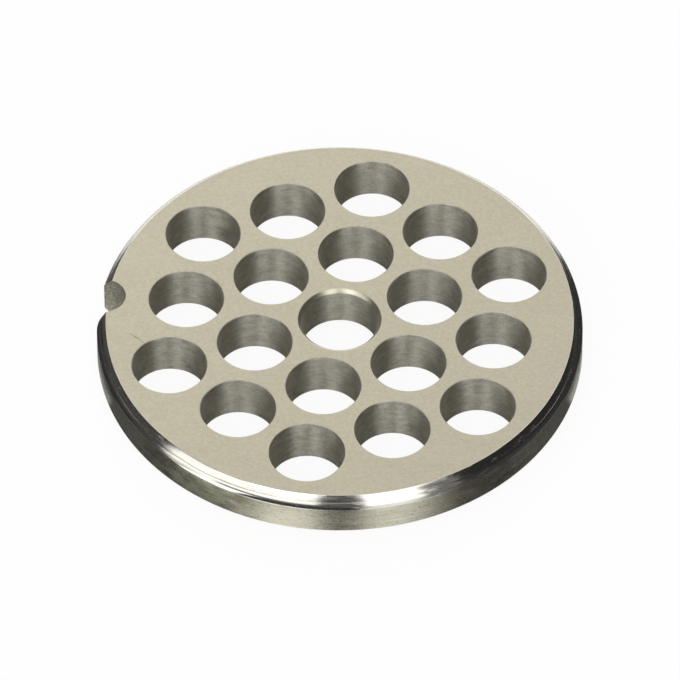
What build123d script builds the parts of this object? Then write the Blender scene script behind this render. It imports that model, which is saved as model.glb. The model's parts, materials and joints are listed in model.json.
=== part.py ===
from build123d import *
from math import sqrt
import os

# Meat grinder plate for a size 22 head: one steel disc, turned, drilled right through and
# ground flat on both faces. The knife sweeps the upper face and the ring of the head
# clamps the plate. Millimetres.
# Frame: origin on the axis of the stud bore at the lower face, +Z out of the cutting
# face, key notch on -X.

# Turned blank
PLATE_DIAMETER = 82.5       # 3 1/4 in, drops into the mouth of the head
PLATE_THICKNESS = 8.2
TOP_CHAMFER = 1.5           # 45 degrees, round the cutting face
BOTTOM_CHAMFER = 1.0        # 45 degrees, round the seating face
SHOULDER_RADIUS = 1.8       # where the top chamfer rolls over into the rim

# Bore that runs on the stud of the worm
BORE_DIAMETER = 13.0        # clearance on a 1/2 in stud
BORE_CHAMFER = 0.6          # 90 degree countersink on the cutting face
BORE_LEAD = 0.85            # 45 degrees on the seating face, where the stud enters

# Feed holes, on rows that stand 60 degrees apart
HOLE_DIAMETER = 12.7        # 1/2 in, a coarse plate
HOLE_WALL = 2.6             # steel between one hole and the next
HOLE_EDGE_BREAK = 0.12      # both faces, so that the cutting edge stays keen
ROW_ANGLE = 27.5            # the first row against +X, set by the notch
LEAST_LAND = 1.45           # least steel from a hole to the rim, the notch or the bore

# Key notch, milled right through the rim
NOTCH_RADIUS = 3.7
NOTCH_DEPTH = 4.5           # in from the outside diameter
NOTCH_LEAD_RADIUS = 2.6     # corner of the mouth where the key slides in
NOTCH_CORNER_RADIUS = 0.3   # the other corner
NOTCH_RUNOUT = 0.02         # how far past the rim both corners run out

# What follows from them
PLATE_RADIUS = PLATE_DIAMETER / 2
FLAT_RADIUS = PLATE_RADIUS - TOP_CHAMFER
SEAT_RADIUS = PLATE_RADIUS - BOTTOM_CHAMFER
BORE_RADIUS = BORE_DIAMETER / 2
HOLE_RADIUS = HOLE_DIAMETER / 2
HOLE_PITCH = HOLE_DIAMETER + HOLE_WALL
ROW_SPACING = HOLE_PITCH * sqrt(3) / 2
NOTCH_CENTRE = Vector(-(PLATE_RADIUS - NOTCH_DEPTH + NOTCH_RADIUS), 0)
COUNTERSINK_ANGLE = 90
TOP_FACE = Plane.XY.offset(PLATE_THICKNESS)
BOTTOM_FACE = Plane.XY


def feed_hole_centres() -> list[Vector]:
    """Points of the hexagonal pattern whose holes leave LEAST_LAND on every side."""
    rows = int(FLAT_RADIUS / ROW_SPACING) + 1
    along = Vector(HOLE_PITCH, 0).rotate(Axis.Z, ROW_ANGLE)
    across = along.rotate(Axis.Z, 60)
    steps = range(-2 * rows, 2 * rows + 1)
    points = [along * i + across * j for i in steps for j in steps]
    clear = HOLE_RADIUS + LEAST_LAND
    return [
        point
        for point in points
        if point.length + clear <= min(FLAT_RADIUS, SEAT_RADIUS)
        and point.length >= BORE_RADIUS + max(BORE_CHAMFER, BORE_LEAD) + clear
        and (point - NOTCH_CENTRE).length >= NOTCH_RADIUS + clear
    ]


with BuildPart() as grinder_plate:
    # Blank: half of the section, turned about the axis of the bore.
    with BuildSketch(Plane.XZ) as section:
        with BuildLine():
            Polyline(
                (0, 0),
                (SEAT_RADIUS, 0),
                (PLATE_RADIUS, BOTTOM_CHAMFER),
                (PLATE_RADIUS, PLATE_THICKNESS - TOP_CHAMFER),
                (FLAT_RADIUS, PLATE_THICKNESS),
                (0, PLATE_THICKNESS),
                close=True,
            )
        make_face()
        shoulder = section.vertices().group_by(Axis.X)[-1].sort_by(Axis.Y)
        fillet(shoulder.last, SHOULDER_RADIUS)
    revolve(axis=Axis.Z)

    # Key notch: the outline of the notched disc, with its mouth eased, trims the blank.
    with BuildSketch(BOTTOM_FACE) as outline:
        Circle(PLATE_RADIUS + NOTCH_RUNOUT)
        with Locations(NOTCH_CENTRE):
            Circle(NOTCH_RADIUS, mode=Mode.SUBTRACT)
        mouth = outline.vertices().group_by(Axis.X)[0].sort_by(Axis.Y)
        fillet(mouth.first, NOTCH_LEAD_RADIUS)
        mouth = outline.vertices().filter_by(lambda v: v.Y > 0).sort_by(Axis.X)
        fillet(mouth.first, NOTCH_CORNER_RADIUS)
    extrude(amount=PLATE_THICKNESS, mode=Mode.INTERSECT)

    # Feed holes, drilled through, then the edges on both faces broken.
    with Locations(TOP_FACE):
        with Locations(*feed_hole_centres()):
            Hole(HOLE_RADIUS)
    hole_rims = grinder_plate.edges(Select.LAST).filter_by(GeomType.CIRCLE)
    chamfer(hole_rims, length=HOLE_EDGE_BREAK)

    # Stud bore, countersunk from the cutting face and chamfered on the other.
    with Locations(TOP_FACE):
        CounterSinkHole(
            BORE_RADIUS,
            BORE_RADIUS + BORE_CHAMFER,
            counter_sink_angle=COUNTERSINK_ANGLE,
        )
    seat_edges = grinder_plate.edges(Select.LAST).group_by(Axis.Z)[0]
    chamfer(seat_edges, length=BORE_LEAD)

grinder_plate.part.label = "grinder_plate"
os.makedirs("parts", exist_ok=True)
export_step(grinder_plate.part, "parts/grinder_plate.step")
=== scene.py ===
"""Dresses the grinder plate: a finely rounded steel skin, its finishes, the studio and the camera.

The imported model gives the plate's place and sizes. Every length here is in metres, in the
plate's own frame: origin on the bore's axis at the lower face, +Z out of the cutting face,
key notch on -X.
"""

import json
import logging
from dataclasses import dataclass, field
from enum import Enum, IntEnum
from math import acos, atan2, cos, degrees, hypot, pi, radians, sin, sqrt, tan
from typing import Any, Callable, Sequence, Union

import bmesh
import bpy
from mathutils import Matrix, Vector
from mathutils.geometry import delaunay_2d_cdt


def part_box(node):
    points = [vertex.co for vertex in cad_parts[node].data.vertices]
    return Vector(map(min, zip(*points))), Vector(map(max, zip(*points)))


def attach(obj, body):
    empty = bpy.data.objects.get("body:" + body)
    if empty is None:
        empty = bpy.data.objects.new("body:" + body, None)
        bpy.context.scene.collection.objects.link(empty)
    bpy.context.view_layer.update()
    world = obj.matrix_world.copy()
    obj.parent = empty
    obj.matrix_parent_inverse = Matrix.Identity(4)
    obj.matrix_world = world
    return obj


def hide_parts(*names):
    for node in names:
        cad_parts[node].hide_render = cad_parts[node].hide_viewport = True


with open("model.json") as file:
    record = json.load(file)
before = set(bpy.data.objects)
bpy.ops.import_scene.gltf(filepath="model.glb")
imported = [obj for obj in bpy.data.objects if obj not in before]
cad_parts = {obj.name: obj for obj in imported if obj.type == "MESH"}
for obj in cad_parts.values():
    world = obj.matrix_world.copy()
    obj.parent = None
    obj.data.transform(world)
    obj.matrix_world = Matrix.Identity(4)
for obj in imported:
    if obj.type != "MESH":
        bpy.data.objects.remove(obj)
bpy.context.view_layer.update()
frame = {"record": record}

LOG = logging.getLogger("grinder_plate")
MM = 0.001
NODE = "grinder_plate"
BODY = "root"
VIEW_AZIMUTH = radians(8.07)
FRONT = Vector((sin(VIEW_AZIMUTH), -cos(VIEW_AZIMUTH), 0.0))
RIGHT = Vector((cos(VIEW_AZIMUTH), sin(VIEW_AZIMUTH), 0.0))

ACROSS_THE_LAY = 0.25  # of a full turn, from the direction in which the plate was turned
SHARP_ANGLE = radians(35)  # edges that fold by more stay sharp
MERGE_DISTANCE = 1e-9
AWAY = 1.0  # how far a section's line is followed, to give its direction

Pair = tuple[float, float]
Triple = tuple[float, float, float]
Rows = list[list[int]]
Term = Union["Sock", float]


# ---------------------------------------------------------------- shader maths


class Sock:
    """One output socket of a node tree, with the arithmetic that the finishes use."""

    def __init__(self, net: "Net", socket: bpy.types.NodeSocket) -> None:
        """Wraps an output socket of a tree."""
        self.net = net
        self.socket = socket

    def math(self, operation: str, *others: Term) -> "Sock":
        """The result of a Math node that starts with this socket."""
        return self.net.math(operation, self, *others)

    def __add__(self, other: Term) -> "Sock":
        """This value plus another."""
        return self.math("ADD", other)

    def __radd__(self, other: Term) -> "Sock":
        """Another value plus this one."""
        return self.net.math("ADD", other, self)

    def __sub__(self, other: Term) -> "Sock":
        """This value less another."""
        return self.math("SUBTRACT", other)

    def __rsub__(self, other: Term) -> "Sock":
        """Another value less this one."""
        return self.net.math("SUBTRACT", other, self)

    def __mul__(self, other: Term) -> "Sock":
        """This value times another."""
        return self.math("MULTIPLY", other)

    def __rmul__(self, other: Term) -> "Sock":
        """Another value times this one."""
        return self.net.math("MULTIPLY", other, self)

    def between(self, low: float, high: float) -> "Sock":
        """A smooth step that is 0 at low and 1 at high.

        Args:
            low: Where the step is 0.
            high: Where it is 1. Where high is below low, the step falls.

        Returns:
            The step's value.
        """
        if low > high:
            return 1.0 - self.between(high, low)
        inputs = {"Value": self, "From Min": low, "From Max": high}
        return self.net.first("ShaderNodeMapRange", inputs, interpolation_type="SMOOTHSTEP")

    def band(self, low: float, high: float, soft: float) -> "Sock":
        """1 between low and high, with edges as wide as soft outside them."""
        return self.between(low - soft, low) * self.between(high + soft, high)


class Net:
    """A node tree that is written as expressions."""

    def __init__(self, tree: bpy.types.NodeTree) -> None:
        """Empties a material's or the world's tree, to write in."""
        self.tree = tree
        tree.nodes.clear()

    def node(
        self,
        kind: str,
        settings: dict[str, Any] | None = None,
        inputs: dict[str | int, Any] | None = None,
    ) -> bpy.types.Node:
        """Adds a node.

        Args:
            kind: The node's type.
            settings: Its properties, set first.
            inputs: A value or a Sock for each socket, by name or number.

        Returns:
            The new node.
        """
        node = self.tree.nodes.new(kind)
        for name, value in (settings or {}).items():
            setattr(node, name, value)
        for name, value in (inputs or {}).items():
            if isinstance(value, Sock):
                self.tree.links.new(value.socket, node.inputs[name])
            else:
                node.inputs[name].default_value = value
        return node

    def first(self, kind: str, inputs: dict[str | int, Any], **settings: Any) -> Sock:
        """Adds a node and gives its first output."""
        return Sock(self, self.node(kind, settings, inputs).outputs[0])

    def end(self, kind: str, surface: Sock) -> None:
        """Ends the tree in an output node."""
        self.node(kind, None, {"Surface": surface})

    def math(self, operation: str, *terms: Term) -> Sock:
        """The result of a Math node, whose operation and inputs are given in order."""
        return self.first("ShaderNodeMath", dict(enumerate(terms)), operation=operation)

    def vector(self, operation: str, *terms: Any, output: str = "Vector") -> Sock:
        """Adds a Vector Math node.

        Args:
            operation: Its operation.
            terms: Its vector inputs, in order.
            output: The output wanted, Vector or Value.

        Returns:
            The chosen output.
        """
        settings = {"operation": operation}
        node = self.node("ShaderNodeVectorMath", settings, dict(enumerate(terms)))
        return Sock(self, node.outputs[output])

    def dot(self, one: Any, two: Any) -> Sock:
        """The dot product of two vectors."""
        return self.vector("DOT_PRODUCT", one, two, output="Value")

    def tint(self, colour: Any, gain: Term) -> Sock:
        """A colour times a number."""
        return self.first("ShaderNodeVectorMath", {0: colour, "Scale": gain}, operation="SCALE")

    def mix(self, factor: Term, first: Any, second: Any) -> Sock:
        """Mixes two colours.

        Args:
            factor: 0 gives the first colour, 1 the second.
            first: A colour or a Sock.
            second: A colour or a Sock.

        Returns:
            The mixed colour.
        """
        inputs = {
            0: factor,
            6: first if isinstance(first, Sock) else (*first, 1.0),
            7: second if isinstance(second, Sock) else (*second, 1.0),
        }
        return Sock(self, self.node("ShaderNodeMix", {"data_type": "RGBA"}, inputs).outputs[2])

    def coordinate(self, output: str) -> Sock:
        """An output of Texture Coordinate, such as Object."""
        return Sock(self, self.node("ShaderNodeTexCoord").outputs[output])

    def split(self, vector: Sock) -> tuple[Sock, ...]:
        """The x, y and z of a vector."""
        node = self.node("ShaderNodeSeparateXYZ", None, {0: vector})
        return tuple(Sock(self, output) for output in node.outputs)


def new_material(name: str) -> tuple[bpy.types.Material, Net]:
    """Makes a node material.

    Args:
        name: The material's name.

    Returns:
        The material and its emptied tree.
    """
    material = bpy.data.materials.new(name)
    material.use_nodes = True
    return material, Net(material.node_tree)


# ---------------------------------------------------------------- steel finishes


class Finish(IntEnum):
    """The plate's finishes, in the order of its material slots."""

    GROUND = 0
    TURNED_BEVEL = 1
    TURNED_RIM = 2
    BORED = 3
    MILLED = 4
    COUNTERSUNK = 5


@dataclass(frozen=True)
class Grain:
    """One scale of unevenness in a finish.

    Attributes:
        size: Size of a grain along X, Y and Z, in mm.
        detail: Octaves of finer noise.
        rough: How strong each finer octave is.
        tone: How much the grain lightens and darkens the colour.
        matt: How much it changes the roughness.
        relief: Its share of the height.
    """

    size: Triple
    detail: float = 2.0
    rough: float = 0.5
    tone: float = 0.0
    matt: float = 0.0
    relief: float = 0.0

    def read(self, net: Net, place: Sock) -> Sock:
        """The grain as noise.

        Args:
            net: The tree to write in.
            place: The point on the plate.

        Returns:
            A number from 0 to 1, about 0.5.
        """
        size = tuple(length * MM for length in self.size)
        inputs = {
            "Vector": net.vector("DIVIDE", place, size),
            "Scale": 1.0,
            "Detail": self.detail,
            "Roughness": self.rough,
        }
        return net.first("ShaderNodeTexNoise", inputs)


@dataclass
class Look:
    """A finish in the making.

    Attributes:
        net: The tree to write in.
        place: The point on the plate.
        colour: Base colour, a colour or a Sock.
        roughness: Roughness.
        gain: What the colour is multiplied by.
        height: Height of the relief, in shares of the finish's depth.
    """

    net: Net
    place: Sock
    colour: Any
    roughness: Term
    gain: Term = 1.0
    height: Term = 0.0


@dataclass(frozen=True)
class SteelFinish:
    """Bare steel, made uneven by its grains.

    Attributes:
        name: The material's name.
        colour: Base colour.
        roughness: Roughness between the grains' highs and lows.
        grains: The unevenness.
        depth: What a height of 1 stands for, in metres.
        brushed: How much longer the highlights are across the lay of the tool.
    """

    name: str
    colour: Triple
    roughness: float
    grains: tuple[Grain, ...]
    depth: float
    brushed: float = 0.0

    def make(self) -> bpy.types.Material:
        """The finish as a material."""
        material, net = new_material(self.name)
        look = Look(net, net.coordinate("Object"), self.colour, self.roughness)
        for grain in self.grains:
            noise = grain.read(net, look.place)
            swing = noise - 0.5
            look.gain = look.gain + swing * grain.tone
            look.roughness = look.roughness + swing * grain.matt
            look.height = look.height + noise * grain.relief
        self.mark(look)
        relief = {"Strength": 1.0, "Distance": self.depth, "Height": look.height}
        inputs = {
            "Base Color": net.tint(look.colour, look.gain),
            "Metallic": 1.0,
            "Roughness": look.roughness,
            "Normal": net.first("ShaderNodeBump", relief),
            "Anisotropic": self.brushed,
            "Anisotropic Rotation": ACROSS_THE_LAY if self.brushed else 0.0,
        }
        net.end("ShaderNodeOutputMaterial", net.first("ShaderNodeBsdfPrincipled", inputs))
        return material

    def mark(self, look: Look) -> None:
        """Adds the marks that grains don't give. A plain finish has none."""


@dataclass(frozen=True)
class Scratch:
    """A short dark line across the ground face, from one point to another."""

    start: Pair
    end: Pair
    width: float = 0.11 * MM
    fade: float = 0.3 * MM
    sway: float = 0.7 * MM
    bends: Grain = Grain((0.7, 0.7, 1000.0))

    def mask(self, look: Look) -> Sock:
        """1 on the scratch and 0 off it.

        Args:
            look: The finish that it is cut in.

        Returns:
            The mask.
        """
        run = Vector((self.end[0] - self.start[0], self.end[1] - self.start[1], 0.0))
        way = run.normalized()
        side = Vector((-way.y, way.x, 0.0))
        from_start = look.net.vector("SUBTRACT", look.place, (*self.start, 0.0))
        along, off = look.net.dot(from_start, way), look.net.dot(from_start, side)
        bent = (self.bends.read(look.net, look.place) - 0.5) * self.sway
        off = (off - bent).math("ABSOLUTE")
        return along.band(0.0, run.length, self.fade) * off.between(self.width, 0.0)


@dataclass(frozen=True)
class GroundFace(SteelFinish):
    """Flat faces off the surface grinder: even, matt, with a very fine mottle."""

    name: str = "steel_ground"
    colour: Triple = (0.464, 0.434, 0.343)
    roughness: float = 0.43
    grains: tuple[Grain, ...] = (
        Grain((11.0, 7.0, 11.0), 3.0, 0.55, tone=0.14, matt=0.06),
        Grain((0.55, 0.45, 0.5), 3.0, 0.6, tone=0.42, matt=0.08, relief=0.5),
        Grain((0.16, 0.16, 0.16), 1.0, relief=0.5),
    )
    depth: float = 4e-6
    # painted light: the ground face is painted lighter towards this side, where more light falls
    painted_light_side: Triple = (-1.0, 0.4, 0.0)
    painted_light_gain: float = 0.065
    painted_light_span: float = 56 * MM
    cutting_side: Pair = (4.0 * MM, 5.0 * MM)
    scratches: tuple[Scratch, ...] = (Scratch((-34.5 * MM, -8.1 * MM), (-32.0 * MM, -9.8 * MM)),)
    scratch_dark: float = 0.65

    def mark(self, look: Look) -> None:
        """Paints light on one side, the face growing lighter towards it, and scratches the cutting
        face.

        Args:
            look: The finish in the making.
        """
        # painted light, stronger towards the lit side
        painted_light = look.net.dot(look.place, self.painted_light_side)
        look.gain = look.gain + painted_light * (self.painted_light_gain / self.painted_light_span)
        upper = look.net.split(look.place)[2].between(*self.cutting_side)
        for scratch in self.scratches:
            look.gain = look.gain * (1.0 - upper * scratch.mask(look) * self.scratch_dark)


@dataclass(frozen=True)
class TurnedBevel(SteelFinish):
    """Bevels left bright by the lathe tool, with fine rings that run round them."""

    name: str = "steel_turned_bevel"
    colour: Triple = (0.60, 0.585, 0.545)
    roughness: float = 0.15
    grains: tuple[Grain, ...] = (
        Grain((14.0, 14.0, 0.11), 3.0, 0.6, tone=0.35, matt=0.10, relief=0.7),
        Grain((3.5, 3.5, 0.35), 3.0, tone=0.45, matt=0.10, relief=0.3),
    )
    depth: float = 3e-6
    brushed: float = 0.55
    rub: Grain = Grain((2.6, 2.6, 0.5))
    rub_range: Pair = (0.58, 0.76)
    rub_matt: float = 0.20

    def mark(self, look: Look) -> None:
        """Dulls the places where the bevel is rubbed."""
        rubs = self.rub.read(look.net, look.place).between(*self.rub_range)
        look.roughness = look.roughness + rubs * self.rub_matt


@dataclass(frozen=True)
class TurnedRim(SteelFinish):
    """The outside cylinder: turned, then rubbed dull, with streaks and small pits, and painted
    shade clouded over one side.
    """

    name: str = "steel_turned_rim"
    colour: Triple = (0.46, 0.44, 0.36)
    roughness: float = 0.27
    grains: tuple[Grain, ...] = (
        Grain((9.0, 9.0, 0.28), 3.0, 0.6, tone=0.75, matt=0.12, relief=0.6),
        Grain((3.2, 3.2, 1.6), 3.0, 0.6, tone=0.70, matt=0.20, relief=0.4),
    )
    depth: float = 1.2e-5
    brushed: float = 0.75
    pit: Grain = Grain((0.7, 0.7, 0.35))
    pit_range: Pair = (0.37, 0.27)
    pit_dark: float = 0.5
    pit_relief: float = 0.5
    # painted shade: a darker, olive colour clouded over the wall's front-left side, standing for
    # the dark reflection there
    painted_shade_colour: Triple = (0.32, 0.325, 0.235)
    painted_shade_bearing: float = radians(-36)
    painted_shade_edge: Pair = (38.5 * MM, 40.5 * MM)
    cloud: Grain = Grain((5.0, 5.0, 3.0), 3.0, 0.6)
    cloud_range: Pair = (0.32, 0.58)

    def mark(self, look: Look) -> None:
        """Adds the pits, and painted shade, clouded, on one side, standing for a dark reflection
        there.

        Args:
            look: The finish in the making.
        """
        net, place = look.net, look.place
        side = FRONT * cos(self.painted_shade_bearing) + RIGHT * sin(self.painted_shade_bearing)
        # painted shade on the wall's front-left side, as seen from the camera
        painted_shade = net.dot(place, side).between(*self.painted_shade_edge)
        clouds = self.cloud.read(net, place).between(*self.cloud_range)
        look.colour = net.mix(painted_shade * clouds, self.colour, self.painted_shade_colour)
        pits = self.pit.read(net, place).between(*self.pit_range)
        look.gain = look.gain * (1.0 - pits * self.pit_dark)
        look.height = look.height - pits * self.pit_relief


@dataclass(frozen=True)
class BoredWall(SteelFinish):
    """Walls of the holes, ringed by the drill's feed."""

    name: str = "steel_bored"
    colour: Triple = (0.53, 0.515, 0.45)
    roughness: float = 0.55
    grains: tuple[Grain, ...] = (
        Grain((7.0, 7.0, 0.16), 2.0, 0.6, tone=0.45, matt=0.10, relief=0.5),
        Grain((1.9, 1.9, 0.9), 3.0, 0.6, tone=0.85, matt=0.20, relief=0.25),
        Grain((0.5, 0.5, 0.3), 2.0, 0.6, tone=0.60, relief=0.25),
    )
    depth: float = 1.2e-5
    brushed: float = 0.85


@dataclass(frozen=True)
class MilledNotch(SteelFinish):
    """The notch's wall, left coarse by the cutter, with shade painted on its deepest part."""

    name: str = "steel_milled"
    colour: Triple = (0.585, 0.57, 0.48)
    roughness: float = 0.60
    grains: tuple[Grain, ...] = (
        Grain((0.45, 0.45, 0.5), 3.0, 0.7, tone=2.4, matt=0.35, relief=1.0),
    )
    depth: float = 6e-5
    # painted shade: the deepest part of the notch's recess is painted darker, where it lies in
    # shadow
    recess_shade_range: Pair = (-37.5 * MM, -36.9 * MM)
    recess_shade_dark: float = 0.45

    def mark(self, look: Look) -> None:
        """Paints shade on the deepest part of the wall, in the notch's recess."""
        # painted shade in the recess
        recess_shade = look.net.split(look.place)[0].between(*self.recess_shade_range)
        look.gain = look.gain * (1.0 - recess_shade * self.recess_shade_dark)


@dataclass(frozen=True)
class Countersink(SteelFinish):
    """The stud bore's bevels, cut by hand and left softer than the rim's."""

    name: str = "steel_countersunk"
    colour: Triple = (0.56, 0.54, 0.43)
    roughness: float = 0.38
    grains: tuple[Grain, ...] = (
        Grain((9.0, 9.0, 0.12), tone=0.25, relief=0.6),
        Grain((1.6, 1.6, 0.6), 3.0, 0.6, tone=0.30, matt=0.16, relief=0.4),
    )
    depth: float = 6e-6
    brushed: float = 0.4


# ---------------------------------------------------------------- the plate's skin


def rounded(corner: Pair, before: Pair, after: Pair, radius: float, steps: int) -> list[Pair]:
    """The arc that rounds a corner of a section.

    Args:
        corner: The sharp corner.
        before: The section's point before it.
        after: The section's point after it.
        radius: The arc's radius.
        steps: The arc's segments.

    Returns:
        The arc's points, from the side of before to the side of after.
    """
    at = Vector(corner)
    back = (Vector(before) - at).normalized()
    on = (Vector(after) - at).normalized()
    half = back.angle(on) / 2
    middle = at + (back + on).normalized() * (radius / sin(half))
    first = at + back * (radius / tan(half)) - middle
    last = at + on * (radius / tan(half)) - middle
    sweep = first.angle(last)
    points = []
    for step in range(steps + 1):
        share = step / steps
        spoke = (first * sin((1 - share) * sweep) + last * sin(share * sweep)) / sin(sweep)
        points.append(tuple(middle + spoke))
    return points


class Skin:
    """Collects the plate's vertices and faces, with the finish of each face."""

    def __init__(self) -> None:
        """Starts with nothing."""
        self.points: list[Triple] = []
        self.faces: list[tuple[int, ...]] = []
        self.finishes: list[int] = []

    def row(self, points: Sequence[Triple]) -> list[int]:
        """Adds a row of vertices.

        Args:
            points: Their places.

        Returns:
            Their numbers.
        """
        start = len(self.points)
        self.points.extend(points)
        return list(range(start, len(self.points)))

    def strip(self, one: list[int], two: list[int], finish: Finish, closed: bool = False) -> None:
        """Joins two rows with a strip of four-sided faces.

        Args:
            one: The first row.
            two: The second row, as long as the first.
            finish: The faces' finish.
            closed: Whether the rows are rings.
        """
        count = len(one) if closed else len(one) - 1
        for index in range(count):
            onward = (index + 1) % len(one)
            self.faces.append((one[index], one[onward], two[onward], two[index]))
            self.finishes.append(finish)

    def sheet(self, rows: Rows, finishes: list[Finish], closed: bool = False) -> None:
        """Joins many rows in order, with a finish for each strip between them."""
        for one, two, finish in zip(rows, rows[1:], finishes):
            self.strip(one, two, finish, closed)

    def fill(self, loops: Rows, keep: Callable[[Vector], bool], finish: Finish) -> None:
        """Fills a flat face that has holes.

        Args:
            loops: Its outline and the outline of each hole, as vertex numbers.
            keep: Whether a point seen from above lies on the face.
            finish: The faces' finish.
        """
        numbers = [number for loop in loops for number in loop]
        places = [Vector(self.points[number][:2]) for number in numbers]
        edges = []
        start = 0
        for loop in loops:
            count = len(loop)
            edges.extend((start + i, start + (i + 1) % count) for i in range(count))
            start += count
        _, _, triangles, sources, *_ = delaunay_2d_cdt(places, edges, [], 0, MERGE_DISTANCE)
        for triangle in triangles:
            corners = [sources[corner][0] for corner in triangle]
            if keep(sum((places[corner] for corner in corners), Vector((0.0, 0.0))) / 3):
                self.faces.append(tuple(numbers[corner] for corner in corners))
                self.finishes.append(finish)

    def make(self, name: str) -> bpy.types.Object:
        """Turns what was collected into an object.

        Args:
            name: The object's name.

        Returns:
            The object, with its faces turned outwards and shaded smooth.
        """
        mesh = bpy.data.meshes.new(name)
        mesh.from_pydata(self.points, [], self.faces)
        mesh.polygons.foreach_set("material_index", self.finishes)
        work = bmesh.new()
        work.from_mesh(mesh)
        bmesh.ops.recalc_face_normals(work, faces=work.faces)
        work.to_mesh(mesh)
        work.free()
        mesh.shade_smooth()
        mesh.set_sharp_from_angle(angle=SHARP_ANGLE)
        piece = bpy.data.objects.new(name, mesh)
        bpy.context.scene.collection.objects.link(piece)
        return piece


class Side(Enum):
    """The sides of the notch's mouth."""

    LEAD = "where the key slides in"
    OTHER = "the nearly sharp one"


@dataclass
class Notch:
    """The key notch seen from above: a round bay whose two corners are eased."""

    rim_radius: float
    radius: float = 3.7 * MM
    depth: float = 4.5 * MM
    lead_radius: float = 2.6 * MM
    corner_radius: float = 0.3 * MM

    @property
    def reach(self) -> float:
        """Distance of the bay's centre from the plate's axis."""
        return self.rim_radius - self.depth + self.radius

    def easing(self, corner: float) -> tuple[float, float, float]:
        """Where the arc that eases a corner of the mouth lies.

        Args:
            corner: The arc's radius.

        Returns:
            The distance of its centre from the axis, the centre's angle from the notch's
            middle, and the distance from the axis at which it meets the bay.
        """
        out = self.rim_radius - corner
        apart = self.radius + corner
        cosine = (out * out + self.reach**2 - apart * apart) / (2 * out * self.reach)
        angle = acos(cosine)
        share = self.radius / apart
        x = self.reach + (out * cos(angle) - self.reach) * share
        y = out * sin(angle) * share
        return out, angle, hypot(x, y)

    def half_angle(self, distance: float, corner: float) -> float:
        """The angle from the notch's middle to its wall, at a distance from the axis.

        Args:
            distance: Distance from the plate's axis.
            corner: Radius of the arc that eases this side's corner.

        Returns:
            The angle.
        """
        out, angle, meets = self.easing(corner)
        if distance > meets:
            cosine = (distance**2 + out**2 - corner**2) / (2 * distance * out)
            return angle - acos(min(1.0, cosine))
        cosine = (distance**2 + self.reach**2 - self.radius**2) / (2 * distance * self.reach)
        return acos(min(1.0, cosine))

    def wall_point(self, distance: float, side: Side) -> Pair:
        """The point of one side's wall at a distance from the plate's axis."""
        angle = self.lead_side(distance) if side is Side.LEAD else self.other_side(distance)
        return distance * cos(angle), distance * sin(angle)

    def bearing(self, distance: float, side: Side) -> float:
        """Direction from the bay's centre to the wall's point at a distance from the axis."""
        x, y = self.wall_point(distance, side)
        return atan2(y, x + self.reach)

    def around(self, bearing: float) -> Pair:
        """The wall's point in a direction from the bay's centre.

        Args:
            bearing: The direction.

        Returns:
            Its x and y.
        """
        corner = self.lead_radius if bearing < 0 else self.corner_radius
        out, angle, _ = self.easing(corner)
        apart = self.radius + corner
        off = abs(bearing) - atan2(out * sin(angle), self.reach - out * cos(angle))
        span = self.radius
        if off > 0:
            span = apart * cos(off) - sqrt(corner**2 - (apart * sin(off)) ** 2)
        return span * cos(bearing) - self.reach, span * sin(bearing)

    def lead_side(self, distance: float) -> float:
        """Polar angle of the wall on the side where the key slides in."""
        return pi + self.half_angle(distance, self.lead_radius)

    def other_side(self, distance: float) -> float:
        """Polar angle of the other wall, a full turn further on."""
        return 3 * pi - self.half_angle(distance, self.corner_radius)

    def holds(self, point: Vector) -> bool:
        """Whether a point seen from above lies in the notch.

        Args:
            point: The point.

        Returns:
            True between the notch's walls.
        """
        out = point.length
        if out < self.reach - self.radius:
            return False
        turn = atan2(-point.y, -point.x)
        lead, far = self.half_angle(out, self.lead_radius), self.half_angle(out, self.corner_radius)
        return -far < turn < lead


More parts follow.
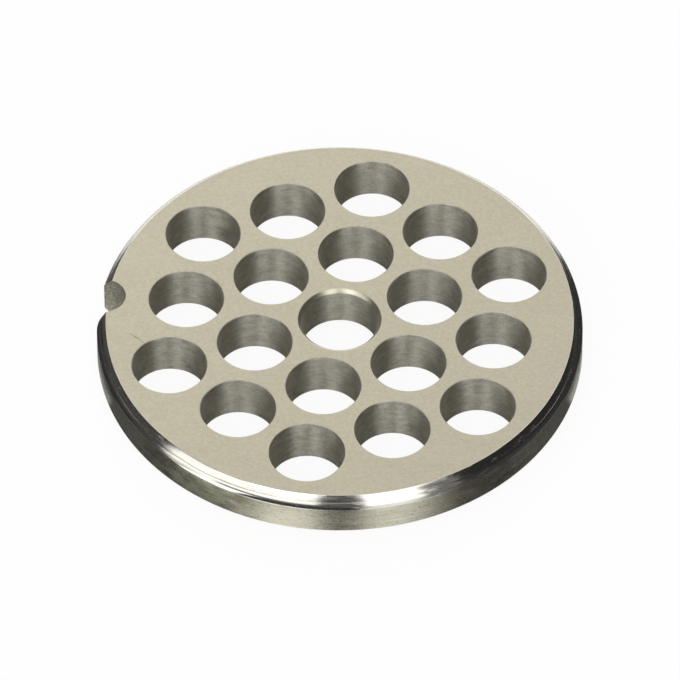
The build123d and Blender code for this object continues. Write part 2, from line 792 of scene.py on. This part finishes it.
@dataclass
class GrinderPlate:
    """The steel disc, skinned with the small roundings that a CAD solid leaves out."""

    record: dict[str, Any]
    top_bevel: float = 1.5 * MM
    seat_bevel: float = 1.0 * MM
    shoulder_radius: float = 1.8 * MM
    hole_radius: float = 6.35 * MM
    hole_break: float = 0.12 * MM
    bore_bevel: float = 0.6 * MM
    bore_lead: float = 0.85 * MM
    bore_rounding: float = 0.25 * MM
    face_rounding: float = 0.05 * MM
    keen_share: float = 0.3  # of face_rounding, on the holes' keen edges
    rim_rounding: float = 0.15 * MM
    foot_rounding: float = 0.20 * MM
    ring_depth: float = 0.02 * MM
    ring_width: float = 0.07 * MM
    ring_share: float = 0.61  # how far down the upper bevel the turned line runs
    seat_shares: Triple = (0.35, 0.5, 0.65)  # the lower bevel's rows that match the line's
    hold: float = 0.10 * MM  # plain steel kept beside an edge, so that its shading is even
    face_steps: int = 5
    break_steps: int = 3
    shoulder_steps: int = 10
    wall_rows: int = 8
    hole_rows: int = 4
    rim_steps: int = 720
    hole_steps: int = 112
    bay_steps: int = 72
    height: float = field(init=False)
    rim_radius: float = field(init=False)
    bore_radius: float = field(init=False)
    centres: list[Vector] = field(init=False)
    notch: Notch = field(init=False)
    skin: Skin = field(default_factory=Skin)

    def __post_init__(self) -> None:
        """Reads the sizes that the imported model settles."""
        low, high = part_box(NODE)
        mounts = {mount["name"]: mount for mount in self.record["mounts"]}
        self.height = high.z - low.z
        self.rim_radius = mounts["plate_rim"]["dims"]["r_mm"] * MM
        self.bore_radius = mounts["stud_bore"]["dims"]["r_mm"] * MM
        self.notch = Notch(self.rim_radius)
        self.centres = [
            Vector((box["box_m"][0][i] + box["box_m"][1][i]) / 2 for i in range(2))
            for box in self.record["physics"]["openings"]
            if box["name"].startswith("feed_hole")
        ]

    @property
    def flat_radius(self) -> float:
        """Radius of the cutting face."""
        return self.rim_radius - self.top_bevel

    @property
    def seat_radius(self) -> float:
        """Radius of the seating face."""
        return self.rim_radius - self.seat_bevel

    def upper_section(self) -> list[Pair]:
        """The rim's section from the cutting face down to the top of its wall.

        Returns:
            Distance from the axis and height of each point.
        """
        top, out = self.height, self.rim_radius
        inner = (self.flat_radius, top)
        outer = (out, top - self.top_bevel)
        ring = self.top_bevel * self.ring_share
        edge = self.ring_width / 2
        dip = self.ring_depth / sqrt(2)
        points = [(self.flat_radius - self.hold, top)]
        points += rounded(inner, (0.0, top), outer, self.rim_rounding, self.face_steps)
        for along, down in ((-edge, 0.0), (0.0, dip), (edge, 0.0)):
            at = ring + along
            points.append((self.flat_radius + at - down, top - at - down))
        points += rounded(outer, inner, (out, 0.0), self.shoulder_radius, self.shoulder_steps)
        return points

    def lower_section(self) -> list[Pair]:
        """The rim's section from the seating face up to the foot of its wall.

        Returns:
            As many points as upper_section gives.
        """
        out = self.rim_radius
        inner = (self.seat_radius, 0.0)
        outer = (out, self.seat_bevel)
        points = [(self.seat_radius - self.hold, 0.0)]
        points += rounded(inner, (0.0, 0.0), outer, self.rim_rounding, self.face_steps)
        for share in self.seat_shares:
            points.append((self.seat_radius + self.seat_bevel * share, self.seat_bevel * share))
        above = (out, self.height)
        points += rounded(outer, inner, above, self.foot_rounding, self.shoulder_steps)
        return points

    def rim_row(self, out: float, height: float) -> list[int]:
        """A row of vertices round the rim, from one wall of the notch to the other.

        Args:
            out: Distance from the axis.
            height: Height over the seating face.

        Returns:
            The vertices' numbers.
        """
        start, end = self.notch.lead_side(out), self.notch.other_side(out)
        angles = [start + (end - start) * i / self.rim_steps for i in range(self.rim_steps + 1)]
        return self.skin.row([(out * cos(a), out * sin(a), height) for a in angles])

    def make_rim(self) -> tuple[Rows, Rows, Rows]:
        """Skins the bevels and the outside cylinder.

        Returns:
            The rows of the upper bevel, of the wall and of the lower bevel, each from the
            top down.
        """
        upper = [self.rim_row(*point) for point in self.upper_section()]
        lower = [self.rim_row(*point) for point in reversed(self.lower_section())]
        top, foot = self.upper_section()[-1][1], self.lower_section()[-1][1]
        heights = [top + (foot - top) * i / self.wall_rows for i in range(1, self.wall_rows)]
        wall = [upper[-1], *(self.rim_row(self.rim_radius, z) for z in heights), lower[0]]
        self.skin.sheet(upper, [Finish.GROUND] + [Finish.TURNED_BEVEL] * (len(upper) - 2))
        self.skin.sheet(wall, [Finish.TURNED_RIM] * self.wall_rows)
        self.skin.sheet(lower, [Finish.TURNED_BEVEL] * (len(lower) - 2) + [Finish.GROUND])
        return upper, wall, lower

    def make_notch(self, upper: Rows, wall: Rows, lower: Rows) -> Rows:
        """Skins the notch's wall between the ends of the rim's rows.

        Args:
            upper: The upper bevel's rows.
            wall: The wall's rows.
            lower: The lower bevel's rows.

        Returns:
            The bay's edge on the cutting face and on the seating face, from the lead side.
        """
        columns = [[row[0] for row in wall]]
        outs_top = [point[0] for point in self.upper_section()]
        outs_low = [point[0] for point in self.lower_section()]
        count = len(outs_top)
        for side, end in ((Side.LEAD, 0), (Side.OTHER, -1)):
            ordered = range(count - 2, -1, -1) if side is Side.LEAD else range(count - 1)
            for index in ordered:
                ends = (upper[index][end], lower[count - 1 - index][end])
                outs = (outs_top[index], outs_low[index])
                columns.append(self.notch_column(ends, outs, side))
            if side is Side.LEAD:
                bay = [self.bay_column(step) for step in range(1, self.bay_steps)]
                columns += bay
        columns.append([row[-1] for row in wall])
        self.skin.sheet(columns, [Finish.MILLED] * (len(columns) - 1))
        return [[column[end] for column in bay] for end in (0, -1)]

    def notch_column(self, ends: tuple[int, int], outs: Pair, side: Side) -> list[int]:
        """A column of vertices down the notch's wall, near its mouth.

        Args:
            ends: The vertices at its top and at its foot.
            outs: Their distances from the axis.
            side: The side of the mouth that it is on.

        Returns:
            The column's vertices, from the top down.
        """
        top, foot = (self.skin.points[end][2] for end in ends)
        points = []
        for row in range(1, self.wall_rows):
            share = row / self.wall_rows
            x, y = self.notch.wall_point(outs[0] + (outs[1] - outs[0]) * share, side)
            points.append((x, y, top + (foot - top) * share))
        return [ends[0], *self.skin.row(points), ends[1]]

    def bay_column(self, step: int) -> list[int]:
        """A column of vertices down the round of the bay.

        Args:
            step: Its place in order, from the lead side.

        Returns:
            The column's vertices, from the top down.
        """
        points = []
        for row in range(self.wall_rows + 1):
            share = row / self.wall_rows
            out = self.flat_radius + (self.seat_radius - self.flat_radius) * share - self.hold
            first, last = (self.notch.bearing(out, side) for side in Side)
            x, y = self.notch.around(first + (last - first) * step / self.bay_steps)
            points.append((x, y, self.height * (1 - share)))
        return self.skin.row(points)

    def hole_section(self, radius: float, top_break: float, low_break: float) -> list[Pair]:
        """A hole's section from the cutting face to the seating face.

        Args:
            radius: The hole's radius.
            top_break: Width of its bevel at the cutting face.
            low_break: Width of its bevel at the seating face.

        Returns:
            Distance from the hole's axis and height of each point.
        """
        top, wide, low_wide = self.height, radius + top_break, radius + low_break
        soft = self.face_rounding
        is_bore = top_break > self.hole_break
        hard = self.bore_rounding if is_bore else self.keen_share * soft
        corners = [
            (wide + AWAY, top),
            (wide, top),
            (radius, top - top_break),
            (radius, low_break),
            (low_wide, 0.0),
            (low_wide + AWAY, 0.0),
        ]
        arcs = [
            rounded(corners[i], corners[i - 1], corners[i + 1], size, self.break_steps)
            for i, size in enumerate((hard, soft, soft, hard), 1)
        ]
        high, low = arcs[1][-1][1] - self.hold, low_break + soft + self.hold
        shares = [i / self.hole_rows for i in range(self.hole_rows + 1)]
        wall = [(radius, high + (low - high) * share) for share in shares]
        first, last = (wide + self.hold, top), (low_wide + self.hold, 0.0)
        return [first, *arcs[0], *arcs[1], *wall, *arcs[2], *arcs[3], last]

    def make_hole(
        self, centre: Vector, radius: float, top_break: float, low_break: float
    ) -> tuple[list[int], list[int]]:
        """Skins a hole.

        Args:
            centre: Its axis, seen from above.
            radius: Its radius.
            top_break: Width of its bevel at the cutting face.
            low_break: Width of its bevel at the seating face.

        Returns:
            Its outermost rings on the cutting face and on the seating face.
        """
        turns = [2 * pi * i / self.hole_steps for i in range(self.hole_steps)]
        section = self.hole_section(radius, top_break, low_break)
        rows = [
            self.skin.row([(centre.x + out * cos(a), centre.y + out * sin(a), z) for a in turns])
            for out, z in section
        ]
        bevel_rows = 2 * self.break_steps
        is_bore = top_break > self.hole_break
        edge = [Finish.COUNTERSUNK if is_bore else Finish.BORED] * bevel_rows
        wall = [Finish.BORED] * (len(rows) - 3 - 2 * bevel_rows)
        finishes = [Finish.GROUND, *edge, *wall, *edge, Finish.GROUND]
        self.skin.sheet(rows, finishes, closed=True)
        return rows[0], rows[-1]

    def on_face(self, point: Vector, bore_edge: float) -> bool:
        """Whether a point of a flat face, seen from above, lies clear of every opening.

        Args:
            point: The point.
            bore_edge: Width of the bore's bevel at this face.

        Returns:
            True on steel.
        """
        slack = cos(pi / self.hole_steps)
        near = (self.hole_radius + self.hole_break + self.hold) * slack
        if point.length < (self.bore_radius + bore_edge + self.hold) * slack:
            return False
        if any((point - centre).length < near for centre in self.centres):
            return False
        return not self.notch.holds(point)

    def build(self) -> bpy.types.Object:
        """Builds the skin.

        Returns:
            The plate's piece.
        """
        upper, wall, lower = self.make_rim()
        top_arc, foot_arc = self.make_notch(upper, wall, lower)
        rings = [
            self.make_hole(centre, self.hole_radius, self.hole_break, self.hole_break)
            for centre in self.centres
        ]
        axis = Vector((0.0, 0.0))
        bore = self.make_hole(axis, self.bore_radius, self.bore_bevel, self.bore_lead)
        rings.append(bore)
        faces = (
            (0, upper[0] + top_arc[::-1], self.bore_bevel),
            (1, lower[-1] + foot_arc[::-1], self.bore_lead),
        )
        for end, outline, bore_edge in faces:
            self.skin.fill(
                [outline, *(ring[end] for ring in rings)],
                lambda point, edge=bore_edge: self.on_face(point, edge),
                Finish.GROUND,
            )
        return self.skin.make("plate_skin")

    def dress(self, piece: bpy.types.Object) -> None:
        """Gives the piece its finishes.

        Args:
            piece: The plate's piece.
        """
        finishes = {
            Finish.GROUND: GroundFace(),
            Finish.TURNED_BEVEL: TurnedBevel(),
            Finish.TURNED_RIM: TurnedRim(),
            Finish.BORED: BoredWall(),
            Finish.MILLED: MilledNotch(),
            Finish.COUNTERSUNK: Countersink(),
        }
        for slot in Finish:
            piece.data.materials.append(finishes[slot].make())


# ---------------------------------------------------------------- studio and camera


@dataclass(frozen=True)
class Panel:
    """A soft box or a dark flag of the studio, placed by direction, in degrees.

    Bearings run from the camera's side of the plate, positive to the camera's right.
    """

    bearings: Pair
    rises: Pair
    level: float
    edge: float = 1.5
    fall: Pair | None = None

    def cover(self, bearing: Sock, rise: Sock) -> Sock:
        """How much of a direction the panel covers, from 0 to 1.

        Args:
            bearing: The direction's bearing.
            rise: Its angle over the horizon.

        Returns:
            The cover.
        """
        wide = bearing.band(*self.bearings, self.edge)
        if self.fall is not None:
            wide = wide * bearing.between(self.fall[1], self.fall[0])
        return wide * rise.band(*self.rises, 2 * self.edge)


@dataclass(frozen=True)
class PaintedCard:
    """A patch painted on the table beside the plate that glows at its level, a painted reflection
    seen only in the steel.
    """

    bearings: Pair
    reach: Pair
    level: float
    edge: float = 1.5

    def cover(self, bearing: Sock, out: Sock) -> Sock:
        """How much of a point of the table the card covers, by its bearing and distance."""
        return bearing.band(*self.bearings, self.edge) * out.band(*self.reach, self.edge * MM)


@dataclass
class Studio:
    """A polished table in a white room, with soft boxes, and flags that shape them."""

    table_radius: float = 3.0
    table_sides: int = 96
    table_drop: float = 0.02 * MM
    shadow_share: float = 0.08
    polish: float = 0.58
    polish_roughness: float = 0.22
    body_level: float = 0.05
    lamp_tint: Triple = (1.0, 0.99, 0.965)
    panels: tuple[Panel, ...] = (
        # Soft boxes low behind the plate, and dark flags at both its sides.
        Panel((-200.0, -156.0), (-8.0, 36.0), level=2.0, edge=3.0),
        Panel((154.0, 200.0), (-8.0, 36.0), level=2.0, edge=3.0),
        Panel((-153.0, -78.0), (-12.0, 40.0), level=0.08, edge=3.0),
        Panel((-148.0, -90.0), (38.0, 68.0), level=0.04, edge=4.0),
        Panel((50.0, 146.0), (-12.0, 36.0), level=0.03, edge=4.0),
        Panel((50.0, 142.0), (34.0, 68.0), level=0.03),
        # Soft boxes high behind, which light the ground face, over a small flag.
        Panel((142.0, 166.0), (42.0, 62.0), level=1.35, edge=2.0),
        Panel((140.0, 156.0), (16.0, 38.0), level=0.03, edge=2.0),
        Panel((114.0, 144.0), (43.0, 68.0), level=1.4, edge=2.0),
        Panel((-144.0, -114.0), (43.0, 68.0), level=1.4, edge=2.0),
        # Flags in front, straight ahead and high on the left.
        Panel((-10.0, 10.0), (-12.0, 62.0), level=0.10, edge=2.0),
        Panel((-90.0, -43.0), (43.0, 66.0), level=0.12, edge=2.0),
        # The left soft box, with its narrow edge and its bright top.
        Panel((-73.5, -58.0), (-12.0, 34.0), level=1.7, edge=1.0),
        Panel((-60.0, -10.5), (-12.0, 41.0), level=1.8),
        Panel((-43.0, -11.5), (40.0, 66.0), level=3.4),
        # The right soft box, its dim edge, and its top, which fades to the right.
        Panel((10.5, 34.0), (-12.0, 40.0), level=2.3),
        Panel((35.0, 47.0), (-12.0, 40.0), level=0.22),
        Panel((10.5, 52.0), (40.0, 68.0), level=2.4, fall=(31.0, 54.0)),
        # A low flag under the left soft box.
        Panel((-50.0, 9.0), (-12.0, 12.0), level=0.12, edge=2.0),
    )
    painted_cards: tuple[PaintedCard, ...] = (
        # A bright and a dark painted reflection in front, glowing on the table.
        PaintedCard((-46.0, -30.0), (49.0 * MM, 190.0 * MM), level=2.2),
        PaintedCard((-28.5, 4.5), (49.5 * MM, 190.0 * MM), level=0.06),
        # Dark painted reflections at both sides, and grey ones close to the rim.
        PaintedCard((68.0, 122.0), (43.0 * MM, 110.0 * MM), level=0.04, edge=0.7),
        PaintedCard((-112.0, -68.0), (43.0 * MM, 110.0 * MM), level=0.04, edge=0.7),
        PaintedCard((50.0, 72.0), (40.0 * MM, 46.0 * MM), level=0.12, edge=3.0),
        PaintedCard((-72.0, -50.0), (40.0 * MM, 46.0 * MM), level=0.12, edge=3.0),
    )

    @staticmethod
    def bearing(net: Net, way: Sock) -> Sock:
        """Angle of a direction from the camera's side, in degrees, positive to its right."""
        return net.dot(way, RIGHT).math("ARCTAN2", net.dot(way, FRONT)) * degrees(1.0)

    @staticmethod
    def background_ray(net: Net) -> Sock:
        """1 for the rays that show the white background, from the camera or through glass.

        Args:
            net: The tree to write in.

        Returns:
            The mask.
        """
        ray = net.node("ShaderNodeLightPath")
        through = Sock(net, ray.outputs["Is Transmission Ray"])
        return Sock(net, ray.outputs["Is Camera Ray"]).math("MAXIMUM", through)

    def build(self) -> bpy.types.Object:
        """Lights the world and makes the table.

        Returns:
            The table.
        """
        self.light_world()
        work = bmesh.new()
        sides, radius = self.table_sides, self.table_radius
        bmesh.ops.create_circle(work, cap_ends=True, segments=sides, radius=radius)
        mesh = bpy.data.meshes.new("table")
        work.to_mesh(mesh)
        work.free()
        table = bpy.data.objects.new("table", mesh)
        table.location.z = -self.table_drop
        bpy.context.scene.collection.objects.link(table)
        table.data.materials.append(self.table_finish())
        return table

    def table_finish(self) -> bpy.types.Material:
        """The table: white with a faint shadow to the camera, polished to the steel.

        Returns:
            The material.
        """
        material, net = new_material("polished_table")
        white = (1.0, 1.0, 1.0, 1.0)
        dark = (*(self.body_level,) * 3, 1.0)
        glow = net.first("ShaderNodeEmission", {"Color": white, "Strength": 1.0})
        matt = net.first("ShaderNodeBsdfDiffuse", {"Color": white})
        shown = self.blend(self.shadow_share, glow, matt)
        shine = {"Color": white, "Roughness": self.polish_roughness}
        gloss = net.first("ShaderNodeBsdfGlossy", shine)
        body = net.first("ShaderNodeBsdfDiffuse", {"Color": dark})
        polished = self.blend(self.polish, body, gloss)
        place = net.coordinate("Object")
        bearing = self.bearing(net, place)
        out = net.vector("LENGTH", place, output="Value")
        # each card is a glow painted on the table, a painted reflection for the steel
        for card in self.painted_cards:
            seen = net.first("ShaderNodeEmission", {"Color": white, "Strength": card.level})
            polished = self.blend(card.cover(bearing, out), polished, seen)
        surface = self.blend(self.background_ray(net), polished, shown)
        net.end("ShaderNodeOutputMaterial", surface)
        return material

    @staticmethod
    def blend(share: Term, first: Sock, second: Sock) -> Sock:
        """Mixes two shaders, with a share of the second."""
        return first.net.first("ShaderNodeMixShader", {0: share, 1: first, 2: second})

    def light_world(self) -> None:
        """Paints the white room and its panels; background rays see plain white there."""
        world = bpy.data.worlds.new("studio")
        bpy.context.scene.world = world
        world.use_nodes = True
        net = Net(world.node_tree)
        way = net.coordinate("Generated")
        bearing = self.bearing(net, way)
        rise = net.split(way)[2].math("ARCSINE") * degrees(1.0)
        level: Term = 1.0
        for panel in self.panels:
            cover = panel.cover(bearing, rise)
            level = level * (1.0 - cover) + cover * panel.level
        room = net.tint(self.lamp_tint, level)
        shown = net.mix(self.background_ray(net), room, (1.0, 1.0, 1.0))
        background = net.first("ShaderNodeBackground", {"Color": shown, "Strength": 1.0})
        net.end("ShaderNodeOutputWorld", background)


@dataclass
class Viewpoint:
    """A long lens that looks down on the plate from its front."""

    height: float
    elevation: float = radians(48.02)
    roll: float = radians(-0.26)
    distance: float = 2151.8 * MM
    aim_right: float = 0.05 * MM
    aim_below: float = 3.50 * MM
    sensor: float = 36.0
    lens: float = 671.4
    clip: Pair = (0.1, 20.0)

    def build(self) -> bpy.types.Object:
        """Places the camera.

        Returns:
            The camera.
        """
        back = FRONT * cos(self.elevation) + Vector((0.0, 0.0, sin(self.elevation)))
        up = back.cross(RIGHT)
        turn = Matrix.Rotation(self.roll, 3, back)
        right, up = turn @ RIGHT, turn @ up
        aim = Vector((0.0, 0.0, self.height)) + right * self.aim_right - up * self.aim_below
        data = bpy.data.cameras.new("camera")
        data.sensor_width = self.sensor
        data.lens = self.lens
        data.clip_start, data.clip_end = self.clip
        camera = bpy.data.objects.new("camera", data)
        axes = Matrix((right, up, back)).transposed().to_4x4()
        camera.matrix_world = Matrix.Translation(aim + back * self.distance) @ axes
        bpy.context.scene.collection.objects.link(camera)
        bpy.context.scene.camera = camera
        return camera


def main() -> None:
    """Builds the plate, the studio and the camera in order."""
    logging.basicConfig(level=logging.INFO, format="%(name)s: %(message)s")
    plate = GrinderPlate(frame["record"])
    piece = plate.build()
    plate.dress(piece)
    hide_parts(NODE)
    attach(piece, BODY)
    vertices, faces = len(piece.data.vertices), len(piece.data.polygons)
    LOG.info("%s: %d vertices, %d faces", piece.name, vertices, faces)
    studio = Studio()
    table = studio.build()
    LOG.info("%s: radius %.2f m", table.name, studio.table_radius)
    camera = Viewpoint(plate.height).build()
    LOG.info("%s: %.0f mm lens", camera.name, camera.data.lens)
    bpy.context.scene.view_settings.view_transform = "Standard"


if __name__ == "__main__":
    main()
